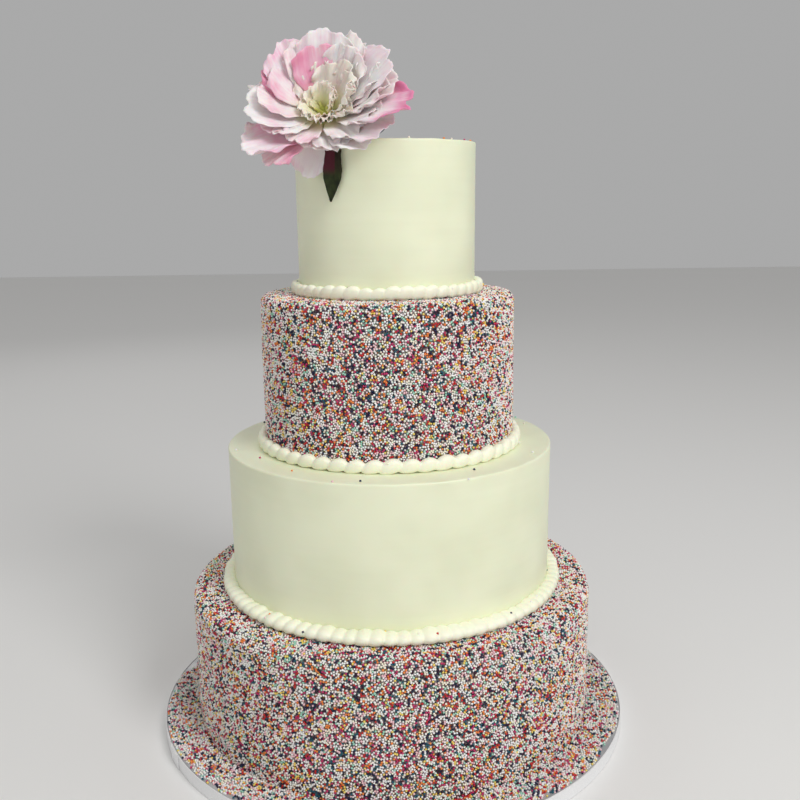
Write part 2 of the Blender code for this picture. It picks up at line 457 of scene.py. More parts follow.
ivory = buttercream("scraped ivory buttercream", linear(241, 244, 214), linear(233, 236, 205))
smooth_tiers = []
for node, rounding, marks in (("lower_tier", 0.0018, ()), ("top_tier", 0.0014, finger_marks)):
    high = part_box(node)[1]
    shift = scraped_icing(high.z, high.x, marks)
    tier = turned_piece(node + "_icing", scraped_profile(node, rounding), scraped_around, shift)
    tier.data.materials.append(ivory)
    settle(tier, "buttercream", node)
    smooth_tiers.append(tier)

# ---------------------------------------------------------------------------
# The borders: buttercream piped in a string of beads round the foot of the three upper tiers.
# Each bead was squeezed out and dragged down under the next, so it leans and tapers. The lower
# borders were piped fuller at the front.
# ---------------------------------------------------------------------------


def squared(value, power):
    """A rounded-off square wave: the sign is kept and the size is raised to a power under one."""
    return math.copysign(abs(value) ** power, value)


bead_along = 11
bead_around = 12
bead_behind = 0.60  # the share of a bead that lies behind its middle
bead_fattest = 0.80  # under one, the fattest part comes nearer the tail
bead_taper = 0.20  # how much slimmer the tail is
bead_square = 0.80  # under one, the section grows squarer
bead_out = 0.62  # half of its width, as a share of the border's
bead_up = 0.50  # half of its height, as a share of the border's
bead_tail_level = 0.25
bead_level = 0.30
bead_swell_level = 0.20
bead_nose_level = 0.45
ring_out = 0.36  # how far out from the wall the ring of beads lies, as a share of the border
bead_sinks = 0.0011


def piped_bead(thick, high, pitch, overlap, fullness, lean):
    """One bead at the origin: X out from the cake, Y along the border, Z up."""
    along = bead_along
    around = bead_around
    reach = overlap * pitch
    tail = -bead_behind * reach
    points = [Vector((0.0, tail, bead_tail_level * high))]
    for ring in range(1, along):
        share = ring / along
        taper = 1.0 - bead_taper + bead_taper * share
        girth = math.sin(math.pi * share ** bead_fattest) ** fullness * taper
        for step in range(around):
            angle = 2.0 * math.pi * step / around
            out = bead_out * thick * girth * squared(math.cos(angle), bead_square)
            up = bead_up * high * girth * squared(math.sin(angle), bead_square)
            drag = lean * pitch * (up / high)
            height = bead_level * high + bead_swell_level * high * girth + up
            points.append(Vector((out, tail + reach * share + drag, height)))
    points.append(Vector((0.0, tail + reach, bead_nose_level * high)))
    faces = []
    for step in range(around):
        after = (step + 1) % around
        faces.append((0, 1 + after, 1 + step))
        for ring in range(along - 2):
            here = 1 + ring * around
            faces.append((here + step, here + after, here + around + after, here + around + step))
        last = 1 + (along - 2) * around
        faces.append((len(points) - 1, last + step, last + after))
    return points, faces


def open_tree(name, inputs):
    """A geometry tree with a mesh going in and out and named inputs; gives its two end nodes."""
    tree = bpy.data.node_groups.new(name, "GeometryNodeTree")
    tree.interface.new_socket("Geometry", in_out="INPUT", socket_type="NodeSocketGeometry")
    for label, kind in inputs:
        tree.interface.new_socket(label, in_out="INPUT", socket_type="NodeSocket" + kind)
    tree.interface.new_socket("Geometry", in_out="OUTPUT", socket_type="NodeSocketGeometry")
    return tree, added(tree, "NodeGroupInput"), added(tree, "NodeGroupOutput")


def made_plain(piece):
    """The piece's modifiers are worked into its mesh."""
    bpy.context.view_layer.update()
    graph = bpy.context.evaluated_depsgraph_get()
    result = bpy.data.meshes.new_from_object(piece.evaluated_get(graph), depsgraph=graph)
    piece.modifiers.clear()
    piece.data = result


def grown(piece, tree, values):
    """Runs a geometry tree on the piece and keeps the result as the piece's plain mesh."""
    modifier = piece.modifiers.new(tree.name, "NODES")
    modifier.node_group = tree
    for item in tree.interface.items_tree:
        if item.in_out == "INPUT" and item.name in values:
            modifier[item.identifier] = values[item.name]
    made_plain(piece)
    return piece


def bead_ring_tree():
    """Copies of one bead set round a ring, each a little tilted and sized by chance."""
    tree, given, made = open_tree(
        "piped border",
        (
            ("Bead Count", "Int"),
            ("Ring Radius", "Float"),
            ("Foot Height", "Float"),
            ("Uneven", "Float"),
            ("Seed", "Int"),
            ("Icing", "Material"),
        ),
    )
    ring = added(tree, "GeometryNodeMeshCircle")
    wired(given, "Bead Count", ring, "Vertices")
    wired(given, "Ring Radius", ring, "Radius")
    lift = added(tree, "ShaderNodeCombineXYZ")
    wired(given, "Foot Height", lift, "Z")
    raised = added(tree, "GeometryNodeSetPosition")
    wired(ring, "Mesh", raised, "Geometry")
    wired(lift, "Vector", raised, "Offset")
    index = added(tree, "GeometryNodeInputIndex")
    step = added(tree, "ShaderNodeMath", operation="DIVIDE")
    wired(index, "Index", step, 0)
    wired(given, "Bead Count", step, 1)
    angle = added(tree, "ShaderNodeMath", operation="MULTIPLY")
    wired(step, "Value", angle, 0)
    preset(angle, {1: 2.0 * math.pi})
    tilt = added(tree, "FunctionNodeRandomValue", data_type="FLOAT")
    wired(given, "Uneven", tilt, 3)
    wired(given, "Seed", tilt, "Seed")
    turn = added(tree, "ShaderNodeCombineXYZ")
    wired(tilt, 1, turn, "X")
    wired(angle, "Value", turn, "Z")
    small = added(tree, "ShaderNodeMath", operation="SUBTRACT")
    preset(small, {0: 1.0})
    wired(given, "Uneven", small, 1)
    size = added(tree, "FunctionNodeRandomValue", data_type="FLOAT")
    wired(small, "Value", size, 2)
    preset(size, {3: 1.04})
    seed = added(tree, "FunctionNodeIntegerMath", operation="ADD")
    wired(given, "Seed", seed, 0)
    preset(seed, {1: 17})
    wired(seed, "Value", size, "Seed")
    place = added(tree, "GeometryNodeInstanceOnPoints")
    wired(raised, "Geometry", place, "Points")
    wired(given, "Geometry", place, "Instance")
    wired(turn, "Vector", place, "Rotation")
    wired(size, 1, place, "Scale")
    real = added(tree, "GeometryNodeRealizeInstances")
    wired(place, "Instances", real, "Geometry")
    paint = added(tree, "GeometryNodeSetMaterial")
    wired(real, "Geometry", paint, "Geometry")
    wired(given, "Icing", paint, "Material")
    wired(paint, "Geometry", made, "Geometry")
    return tree


border_tree = bead_ring_tree()

# Painted light: the piped buttercream is a lighter copy of the scraped ivory, standing for the light that
# the tops of the beads catch.
lit_piped_ivory = buttercream("piped ivory buttercream painted lighter", linear(255, 255, 232), linear(251, 252, 226))
borders = []
# how far a bead overlaps the next, how blunt it is, how it leans, rounds of settling, extra at the front
for node, tier_node, beads, overlap, fullness, lean, softness, swollen, seed in (
    ("lower_border", "lower_tier", 92, 1.50, 0.36, 0.14, 5, 0.60, 3),
    ("upper_border", "upper_tier", 49, 1.36, 0.56, 0.34, 3, 0.15, 5),
    ("top_border", "top_tier", 46, 1.42, 0.44, 0.36, 2, 0.00, 8),
):
    low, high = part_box(node)
    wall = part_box(tier_node)[1].x
    thick = high.x - wall
    rise = high.z - low.z
    pitch = 2.0 * math.pi * (wall + 0.5 * thick) / beads
    bead_points, bead_faces = piped_bead(thick, rise, pitch, overlap, fullness, lean)
    border = laid_mesh(node + "_piping", bead_points, bead_faces)
    grown(
        border,
        border_tree,
        {
            "Bead Count": beads,
            "Ring Radius": wall + ring_out * thick,
            "Foot Height": low.z - bead_sinks,
            "Uneven": 0.10,
            "Seed": seed,
            "Icing": lit_piped_ivory,
        },
    )
    merged = border.modifiers.new("beads run together", "REMESH")
    merged.mode = "VOXEL"
    merged.voxel_size = 0.0009
    merged.use_smooth_shade = True
    softened = border.modifiers.new("icing settles", "SMOOTH")
    softened.factor = 0.5
    softened.iterations = softness
    made_plain(border)
    for point in border.data.vertices:
        out = Vector((point.co.x, point.co.y, 0.0))
        facing = max(0.0, -out.y / out.length)
        beyond = max(0.0, out.length - wall) * swollen * facing * facing
        point.co += out.normalized() * beyond
    border.data.materials.clear()
    border.data.materials.append(lit_piped_ivory)
    settle(border, "piped_buttercream", node)
    borders.append(border)

# ---------------------------------------------------------------------------
# The nonpareils: tiny round sugar beads in mixed colours, about 1.6 mm across. They cover the
# coated tiers and the board, and a few have strayed onto the piping and the smooth tops.
# ---------------------------------------------------------------------------

bead_spacing = 0.00172
bead_candidates = 2.4e6  # darts thrown on each square metre before those too close are dropped
bead_clumps = 330.0  # clumps of like colour in a metre
bare_rim = 0.0014
under_tier = 0.001
board_around = 300
board_rings = 12
board_lift = 0.0004
worn_patches = 48.0  # in a metre
worn_at_rim = 0.7
worn_power = 8
worn_from = 0.64
worn_slope = 4.0
clear_of_border = 0.004
bare_middle = 0.6  # the share of a smooth top that no stray bead reaches
smallest_bead = 0.88
largest_bead = 1.14
past_the_last = 1.01
first_bead_seed = 31


def skin_of(piece, low_radius, cover, lift, steepest):
    """Points and faces of a piece's outside, its bead cover at each point, raised a little."""
    mesh = piece.data
    points = [v.co + v.normal * lift for v in mesh.vertices]
    faces = []
    for face in mesh.polygons:
        middle = face.center
        if face.normal.z > steepest and math.hypot(middle.x, middle.y) > low_radius:
            faces.append(tuple(face.vertices))
    return points, faces, [cover] * len(points)


def board_skin():
    """The board's top from the bottom tier out to the rim, with the cover wearing thin there."""
    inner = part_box("bottom_tier")[1].x - under_tier
    outer = board_radius - bare_rim
    points = []
    cover = []
    faces = []
    around = board_around
    for ring in range(board_rings + 1):
        share = ring / board_rings
        for step in range(around):
            angle = 2.0 * math.pi * step / around
            radius = inner + (outer - inner) * share
            spot = Vector((radius * math.cos(angle), radius * math.sin(angle), board_top + board_lift))
            points.append(spot)
            wear = noise.noise(spot * worn_patches) + worn_at_rim * share ** worn_power - worn_from
            cover.append(min(1.0, max(0.0, 1.0 - worn_slope * max(0.0, wear))))
            if ring < board_rings:
                after = (step + 1) % around
                here = ring * around
                faces.append((here + step, here + around + step, here + around + after, here + after))
    return points, faces, cover


def strewn_skins():
    """All that the beads may lie on as one mesh, with the cover as a value at each point."""
    top_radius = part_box("top_tier")[1].x
    lower_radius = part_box("lower_tier")[1].x
    skins = [
        skin_of(coated_tiers[0], lower_radius + clear_of_border, cover=1.0, lift=0.0003, steepest=-0.5),
        skin_of(coated_tiers[1], top_radius + clear_of_border, cover=1.0, lift=0.0003, steepest=-0.5),
        board_skin(),
    ]
    for border in borders:
        skins.append(skin_of(border, 0.0, cover=0.0035, lift=0.0002, steepest=0.0))
    for tier in smooth_tiers:
        low_radius = bare_middle * tier.dimensions.x / 2.0
        skins.append(skin_of(tier, low_radius, cover=0.005, lift=0.0006, steepest=0.6))
    points = []
    faces = []
    cover = []
    for skin_points, skin_faces, skin_cover in skins:
        start = len(points)
        points += skin_points
        faces += [tuple(start + corner for corner in face) for face in skin_faces]
        cover += skin_cover
    skin = laid_mesh("strewn_skin", points, faces)
    value = skin.data.attributes.new("cover", "FLOAT", "POINT")
    value.data.foreach_set("value", cover)
    return skin


def strewn_sugar_tree():
    """Points thrown over a skin as its cover allows, each with a value that picks its colour."""
    tree, given, made = open_tree(
        "strewn sugar",
        (("Spacing", "Float"), ("Candidates", "Float"), ("Clump Scale", "Float"), ("Seed", "Int")),
    )
    throw = added(tree, "GeometryNodeDistributePointsOnFaces", distribute_method="POISSON")
    cover = added(tree, "GeometryNodeInputNamedAttribute", data_type="FLOAT")
    preset(cover, {"Name": "cover"})
    wired(given, "Geometry", throw, "Mesh")
    wired(given, "Spacing", throw, "Distance Min")
    wired(given, "Candidates", throw, "Density Max")
    wired(given, "Seed", throw, "Seed")
    wired(cover, "Attribute", throw, "Density Factor")
    random = added(tree, "FunctionNodeRandomValue", data_type="FLOAT")
    wired(given, "Seed", random, "Seed")
    clump = added(tree, "ShaderNodeTexVoronoi")
    wired(given, "Clump Scale", clump, "Scale")
    shade = added(tree, "ShaderNodeSeparateXYZ")
    wired(clump, "Color", shade, "Vector")
    alone = added(tree, "FunctionNodeRandomValue", data_type="BOOLEAN")
    preset(alone, {"Probability": 0.45})
    wired(given, "Seed", alone, "Seed")
    pick = added(tree, "GeometryNodeSwitch", input_type="FLOAT")
    wired(alone, 3, pick, "Switch")
    wired(shade, "X", pick, "False")
    wired(random, 1, pick, "True")
    note = added(tree, "GeometryNodeStoreNamedAttribute", data_type="FLOAT", domain="POINT")
    preset(note, {"Name": "pick"})
    wired(throw, "Points", note, "Geometry")
    wired(pick, "Output", note, "Value")
    ends = added(tree, "GeometryNodePointsToVertices")
    wired(note, "Geometry", ends, "Points")
    wired(ends, "Mesh", made, "Geometry")
    return tree


scatter_tree = strewn_sugar_tree()

strewn = grown(
    strewn_skins(),
    scatter_tree,
    {"Spacing": bead_spacing, "Candidates": bead_candidates, "Clump Scale": bead_clumps, "Seed": 4},
)


def one_colour_tree():
    """A bead on each point whose value lies in one colour's share."""
    tree, given, made = open_tree(
        "one colour of sugar",
        (
            ("Share From", "Float"),
            ("Share To", "Float"),
            ("Bead Radius", "Float"),
            ("Seed", "Int"),
            ("Sugar", "Material"),
        ),
    )
    pick = added(tree, "GeometryNodeInputNamedAttribute", data_type="FLOAT")
    preset(pick, {"Name": "pick"})
    above = added(tree, "FunctionNodeCompare", data_type="FLOAT", operation="GREATER_EQUAL")
    wired(pick, "Attribute", above, 0)
    wired(given, "Share From", above, 1)
    below = added(tree, "FunctionNodeCompare", data_type="FLOAT", operation="LESS_THAN")
    wired(pick, "Attribute", below, 0)
    wired(given, "Share To", below, 1)
    mine = added(tree, "FunctionNodeBooleanMath", operation="AND")
    wired(above, "Result", mine, 0)
    wired(below, "Result", mine, 1)
    ball = added(tree, "GeometryNodeMeshUVSphere")
    preset(ball, {"Segments": 4, "Rings": 2})
    wired(given, "Bead Radius", ball, "Radius")
    smooth = added(tree, "GeometryNodeSetShadeSmooth")
    wired(ball, "Mesh", smooth, "Geometry")
    turn = added(tree, "FunctionNodeRandomValue", data_type="FLOAT_VECTOR")
    preset(turn, {1: (math.pi, math.pi, math.pi)})
    wired(given, "Seed", turn, "Seed")
    size = added(tree, "FunctionNodeRandomValue", data_type="FLOAT")
    preset(size, {2: smallest_bead, 3: largest_bead})
    wired(given, "Seed", size, "Seed")
    place = added(tree, "GeometryNodeInstanceOnPoints")
    wired(given, "Geometry", place, "Points")
    wired(mine, "Boolean", place, "Selection")
    wired(smooth, "Geometry", place, "Instance")
    wired(turn, 0, place, "Rotation")
    wired(size, 1, place, "Scale")
    real = added(tree, "GeometryNodeRealizeInstances")
    wired(place, "Instances", real, "Geometry")
    paint = added(tree, "GeometryNodeSetMaterial")
    wired(real, "Geometry", paint, "Geometry")
    wired(given, "Sugar", paint, "Material")
    wired(paint, "Geometry", made, "Geometry")
    return tree


sugar_tree = one_colour_tree()


def sugar_finish(name, colour):
    """Hard sugar shell: one clear colour, lightly polished by tumbling."""
    finish, _, shader = new_finish(name + " sugar")
    preset(
        shader,
        {"Base Color": colour, "Roughness": 0.42, "Subsurface Weight": 0.1, "Subsurface Scale": 0.001},
    )
    return finish


share_from = 0.0
for number, (colour_name, colour, share) in enumerate(SUGAR_COLOURS):
    last_colour = number == len(SUGAR_COLOURS) - 1
    beads = bpy.data.objects.new("nonpareils_" + colour_name, strewn.data.copy())
    bpy.context.scene.collection.objects.link(beads)
    grown(
        beads,
        sugar_tree,
        {
            "Share From": share_from,
            "Share To": past_the_last if last_colour else share_from + share,
            "Bead Radius": bead_radius,
            "Seed": first_bead_seed + number,
            "Sugar": sugar_finish(colour_name, colour),
        },
    )
    share_from += share
    settle(beads, "nonpareil_coat")
bpy.data.objects.remove(strewn, do_unlink=True)

# ---------------------------------------------------------------------------
# The peony's green parts: a moulded cup under the petals and a wired stem pushed into the cake.
# ---------------------------------------------------------------------------

cake_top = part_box("top_tier")[1].z
bloom_base = Vector((-0.0500, -0.0600, cake_top + 0.0200))
bloom_axis = Vector((-0.10, -0.70, 0.71)).normalized()
bloom_right = Vector((0.0, 0.0, 1.0)).cross(bloom_axis).normalized()
bloom_up = bloom_axis.cross(bloom_right)
bloom_turn = Matrix((bloom_right, bloom_up, bloom_axis)).transposed()

stem_radius = 0.0023
flutes = 5.0
flute_depth = 0.06
stem_reach = (bloom_base.z - cake_top + 0.002) / bloom_axis.z
calyx_profile = [
    (0.0000, -0.0035),
    (0.0060, -0.0036),
    (0.0086, -0.0046),
    (0.0088, -0.0062),
    (0.0074, -0.0090),
    (0.0046, -0.0120),
    (stem_radius * 1.2, -0.0150),
    (stem_radius, -0.0190),
    (stem_radius, -stem_reach),
    (0.0000, -stem_reach),
]


def fluted(spot):
    """Shallow flutes round the cup, turned to lie along the bloom's axis."""
    angle = math.atan2(spot.y, spot.x)
    swell = 1.0 + flute_depth * math.cos(flutes * angle)
    return bloom_base + bloom_turn @ Vector((spot.x * swell, spot.y * swell, spot.z))


def leaf_green(name, light, dark, marked):
    """Dyed cloth leaf: dark green, mottled lighter and darker, with a fine weave; where marked, the dye
    runs to maroon.
    """
    finish, tree, shader = new_finish(name)
    cloud = object_grain(tree, "ShaderNodeTexNoise", 120.0)
    tone = colour_ramp(tree, ((0.35, dark), (0.70, light)))
    wired(cloud, "Fac", tone, "Fac")
    weave = object_grain(tree, "ShaderNodeTexNoise", 1500.0)
    if marked:
        stain = added(tree, "ShaderNodeAttribute", attribute_name="stain")
        mix = added(tree, "ShaderNodeMix", data_type="RGBA")
        wired(stain, "Fac", mix, "Factor")
        wired(tone, "Color", mix, "A")
        preset(mix, {"B": linear(80, 24, 38)})
        wired(mix, "Result", shader, "Base Color")
    else:
        wired(tone, "Color", shader, "Base Color")
    preset(shader, {"Roughness": 0.62, "Specular IOR Level": 0.25})
    add_bump(tree, shader, weave.outputs["Fac"], strength=0.15, distance=0.0003)
    return finish


calyx = turned_piece("peony_calyx_and_stem", calyx_profile, 40, fluted)
calyx.data.materials.append(leaf_green("calyx green", linear(92, 118, 66), linear(60, 86, 46), False))
settle(calyx, "leaf", "peony_calyx")

# ---------------------------------------------------------------------------
# The leaves: one hangs down over the rim in front, one points right behind the bloom.
# Each is stamped from dyed cloth, folded along its midrib and pressed with side veins.
# ---------------------------------------------------------------------------

leaf_finish = leaf_green("dark dyed leaf", linear(46, 56, 22), linear(20, 27, 8), True)
glance = 0.02  # how far to each side along a leaf its direction is taken
tooth_depth = 0.05
tooth_pace = 26.0
vein_height = 0.00025
vein_pace = 42.0
vein_slant = 0.35
leaf_fold = 0.20
leaf_wave = 0.0007
leaf_wave_pace = 9.0
leaf_wave_start = 2.0
stain_ends = 0.66
stain_fades_over = 0.08
stain_side = 0.2
faint_stain = 0.15


def smooth_path(knots, share):
    """A point on a smooth curve through the knots, share running from 0 to 1."""
    spans = len(knots) - 1
    place = min(share * spans, spans - 1e-9)
    i = int(place)
    t = place - i
    before = knots[max(i - 1, 0)]
    here = knots[i]
    after = knots[i + 1]
    beyond = knots[min(i + 2, spans)]
    bend = 2.0 * here + (after - before) * t
    bend += (2.0 * before - 5.0 * here + 4.0 * after - beyond) * t * t
    bend += (3.0 * here - before - 3.0 * after + beyond) * t * t * t
    return 0.5 * bend


def cloth_leaf(name, node, knots, widths, side, stained):
    rows = 40
    columns = 12
    points = []
    stain = []
    for row in range(rows + 1):
        share = row / rows
        middle = smooth_path(knots, share)
        ahead = smooth_path(knots, min(1.0, share + glance)) - smooth_path(knots, max(0.0, share - glance))
        ahead.normalize()
        across = (side - ahead * side.dot(ahead)).normalized()
        raised = ahead.cross(across)
        half = 0.5 * smooth_path(widths, share)
        for column in range(columns + 1):
            place = 2.0 * column / columns - 1.0
            saw = 1.0 + tooth_depth * abs(math.sin(tooth_pace * share)) * abs(place) ** 3
            vein = vein_height * math.sin(vein_pace * (share - vein_slant * abs(place)))
            fold = leaf_fold * half * abs(place) + vein * (1.0 - abs(place) ** 4)
            wave = leaf_wave * math.sin(leaf_wave_pace * share + leaf_wave_start) * place * abs(place)
            points.append(middle + across * place * half * saw + raised * (fold + wave))
            edge = 1.0 - min(1.0, max(0.0, (share - stain_ends) / stain_fades_over))
            stain.append(stained * edge * (1.0 if place < stain_side else faint_stain))
    faces = []
    for row in range(rows):
        for column in range(columns):
            a = row * (columns + 1) + column
            faces.append((a, a + 1, a + columns + 2, a + columns + 1))
    leaf = laid_mesh(name, points, faces)
    value = leaf.data.attributes.new("stain", "FLOAT", "POINT")
    value.data.foreach_set("value", stain)
    wall = leaf.modifiers.new("cloth thickness", "SOLIDIFY")
    wall.thickness = 0.0005
    wall.offset = 0.0
    leaf.data.materials.append(leaf_finish)
    settle(leaf, "leaf", node)


cloth_leaf(
    "peony_leaf_front",
    "leaf_front",
    [
        Vector((-0.0410, -0.0665, cake_top + 0.0080)),
        Vector((-0.0425, -0.0755, cake_top + 0.0000)),
        Vector((-0.0437, -0.0768, cake_top - 0.0130)),
        Vector((-0.0447, -0.0755, cake_top - 0.0300)),
        Vector((-0.0466, -0.0738, cake_top - 0.0510)),
    ],
    [0.006, 0.013, 0.013, 0.015, 0.001],
    Vector((1.0, 0.0, 0.0)),
    1.0,
)
cloth_leaf(
    "peony_leaf_back",
    "leaf_back",
    [
        Vector((-0.0380, -0.0440, cake_top + 0.0060)),
        Vector((-0.0200, -0.0420, cake_top + 0.0090)),
        Vector((-0.0050, -0.0400, cake_top + 0.0140)),
        Vector((0.0070, -0.0390, cake_top + 0.0190)),
    ],
    [0.006, 0.015, 0.013, 0.001],
    Vector((0.0, -0.35, 1.0)),
    0.25,
)

# ---------------------------------------------------------------------------
# The peony's petals: fine white cloth, cut and heat-pressed one by one, with pinked and
# ruffled edges. The dye was brushed on by hand, pink at tips and edges and yellow-green at the foot.
# ---------------------------------------------------------------------------

petal_rows = 30
petal_columns = 24
petal_claw = 0.15  # width at the root as a share of the full width
full_frill_at = 0.035  # shorter petals are ruffled less
full_foot_at = 0.045
foot_out = 0.0105
notch_spread = 0.35
notch_depths = (0.03, 0.10)
notch_width = 0.16
twist_most = 0.10
sway = 10.0
sway_pace = 3.0
widening = 0.72
frill_from = 0.35
frill_over = 0.65
tip_round = 0.24
tooth_height = 0.011
teeth_pace = 24.0
cupping = 0.16
frill_broad = (0.8, 6.5)  # share and pace
frill_fine = (0.5, 14.0)
edge_frill = (0.9, 17.0)
pleat_height = 0.00022
pleat_pace = 34.0
pleat_bend = 4.0
pink_tip_from = 0.55
pink_tip_over = 0.45
green_reach = 0.020


def petal_grid(turn, lean, bend, length, width, root, ruffle, seed):
    """Points of one petal, root first: a cupped blade whose rim is notched, toothed and ruffled."""
    draw = Random(seed)
    phases = [draw.uniform(0.0, 2.0 * math.pi) for _ in range(5)]
    edge = ruffle * min(1.0, length / full_frill_at)
    notch_at = draw.uniform(-notch_spread, notch_spread)
    notch = draw.uniform(*notch_depths)
    twist = draw.uniform(-twist_most, twist_most)
    out = math.cos(math.radians(turn)) * bloom_up + math.sin(math.radians(turn)) * bloom_right
    across = bloom_axis.cross(out)
    spine = bloom_base + out * foot_out * min(1.0, length / full_foot_at) + bloom_axis * root
    points = []
    for row in range(petal_rows + 1):
        share = row / petal_rows
        angle = math.radians(lean + bend * share + sway * math.sin(sway_pace * share + phases[0]) * share)
        forward = bloom_axis * math.cos(angle) + out * math.sin(angle)
        inward = bloom_axis * math.sin(angle) - out * math.cos(angle)
        swell = math.sin(math.pi * min(0.5, widening * share))
        half = 0.5 * width * (petal_claw + (1.0 - petal_claw) * swell)
        frill = edge * max(0.0, (share - frill_from) / frill_over) ** 1.5
        for column in range(petal_columns + 1):
            side = 2.0 * column / petal_columns - 1.0
            tip = -tip_round * length * side * side * share
            tip -= notch * length * share ** 4 * math.exp(-(((side - notch_at) / notch_width) ** 2))
            tip += tooth_height * length * share ** 6 * math.sin(teeth_pace * side + phases[1])
            lift = cupping * half * side * side + twist * half * side * share
            lift += frill * frill_broad[0] * math.sin(frill_broad[1] * side + phases[2])
            lift += frill * frill_fine[0] * math.sin(frill_fine[1] * side + phases[3] + sway_pace * share)
            edge_wave = math.sin(edge_frill[1] * share + phases[4])
            lift += edge_frill[0] * edge * abs(side) ** 3 * share * edge_wave
            pleat_turn = pleat_bend * math.sin(sway_pace * share + phases[2])
            pleat = pleat_height * share * math.sin(pleat_pace * side + pleat_turn)
            points.append(spine + across * side * half + forward * tip + inward * (lift + pleat))
        spine = spine + forward * (length / petal_rows)
    return points


def petal_faces(start):
    faces = []
    for row in range(petal_rows):
        for column in range(petal_columns):
            a = start + row * (petal_columns + 1) + column
            faces.append((a, a + 1, a + petal_columns + 2, a + petal_columns + 1))
    return faces


def petal_dye(tip_pink, edge_pink, body_pink_and_shade, foot_green, cream, length):
    """The brushed dye at each point of a petal: how pink it is, how green, and its place on the petal. The
    pink all over is partly painted shade.
    """
    pink = []
    green = []
    places = []
    for row in range(petal_rows + 1):
        share = row / petal_rows
        for column in range(petal_columns + 1):
            side = 2.0 * column / petal_columns - 1.0
            near_tip = max(0.0, (share - pink_tip_from) / pink_tip_over)
            pink.append(tip_pink * near_tip + edge_pink * abs(side) ** 4 * share + body_pink_and_shade)
            near_foot = max(0.0, 1.0 - share * length / green_reach)
            green.append(cream + (foot_green - cream) * near_foot)
            places.append((side, share))
    return pink, green, places


def brushed_silk():
    """White petal cloth with pink brushed on along its grain, and green run into the foot."""
    finish, tree, shader = new_finish("brushed petal silk")
    layout = added(tree, "ShaderNodeUVMap", uv_map="petal")
    drawn = added(tree, "ShaderNodeMapping")
    preset(drawn, {"Scale": (14.0, 1.6, 1.0)})
    streak = added(tree, "ShaderNodeTexNoise")
    preset(streak, {"Scale": 1.0, "Detail": 4.0})
    wired(layout, "UV", drawn, "Vector")
    wired(drawn, "Vector", streak, "Vector")
    cloud = object_grain(tree, "ShaderNodeTexNoise", 70.0)
    pink = added(tree, "ShaderNodeAttribute", attribute_name="pink")
    green = added(tree, "ShaderNodeAttribute", attribute_name="green")
    wash = added(tree, "ShaderNodeMath", operation="MULTIPLY_ADD")
    preset(wash, {1: 0.9, 2: -0.42})
    wired(cloud, "Fac", wash, 0)
    run = added(tree, "ShaderNodeMath", operation="MULTIPLY_ADD")
    preset(run, {1: 0.5})
    wired(streak, "Fac", run, 0)
    wired(wash, "Value", run, 2)
    depth = added(tree, "ShaderNodeMath", operation="ADD")
    wired(pink, "Fac", depth, 0)
    wired(run, "Value", depth, 1)
    tone = colour_ramp(
        tree,
        (
            (0.20, linear(246, 239, 238)),
            (0.45, linear(243, 220, 227)),
            (0.75, linear(240, 176, 202)),
            (1.00, linear(232, 138, 178)),
        ),
    )
    wired(depth, "Value", tone, "Fac")
    foot = added(tree, "ShaderNodeMix", data_type="RGBA")
    preset(foot, {"B": linear(232, 226, 152)})
    wired(green, "Fac", foot, "Factor")
    wired(tone, "Color", foot, "A")
    wired(foot, "Result", shader, "Base Color")
    preset(
        shader,
        {"Roughness": 0.62, "Sheen Weight": 0.25, "Subsurface Weight": 0.18, "Subsurface Scale": 0.003},
    )
    add_bump(tree, shader, streak.outputs["Fac"], strength=0.25, distance=0.0006)
    return finish


petal_silk = brushed_silk()


def cloth_petals(name, node, petals, cream):
    """One piece of one or more petals. Each gives its shape, its ruffle and its dye."""
    points = []
    faces = []
    pink = []
    green = []
    places = []
    for turn, lean, bend, length, width, root, ruffle, tip_pink, edge_pink, body_pink_and_shade, foot_green in petals:
        seed = int(turn * 31 + lean * 7 + length * 90000)
        start = len(points)
        points += petal_grid(turn, lean, bend, length, width, root, ruffle, seed)
        faces += petal_faces(start)
        dyed = petal_dye(tip_pink, edge_pink, body_pink_and_shade, foot_green, cream, length)
        pink += dyed[0]
        green += dyed[1]
        places += dyed[2]
    piece = laid_mesh(name, points, faces)
    for label, values in (("pink", pink), ("green", green)):
        value = piece.data.attributes.new(label, "FLOAT", "POINT")
        value.data.foreach_set("value", values)
    layout = piece.data.uv_layers.new(name="petal")
    corners = [0] * len(piece.data.loops)
    piece.data.loops.foreach_get("vertex_index", corners)
    layout.data.foreach_set("uv", [number for corner in corners for number in places[corner]])
    wall = piece.modifiers.new("cloth thickness", "SOLIDIFY")
    wall.thickness = 0.0004
    wall.offset = 0.0
    piece.data.materials.append(petal_silk)
    settle(piece, "petal_silk", node)
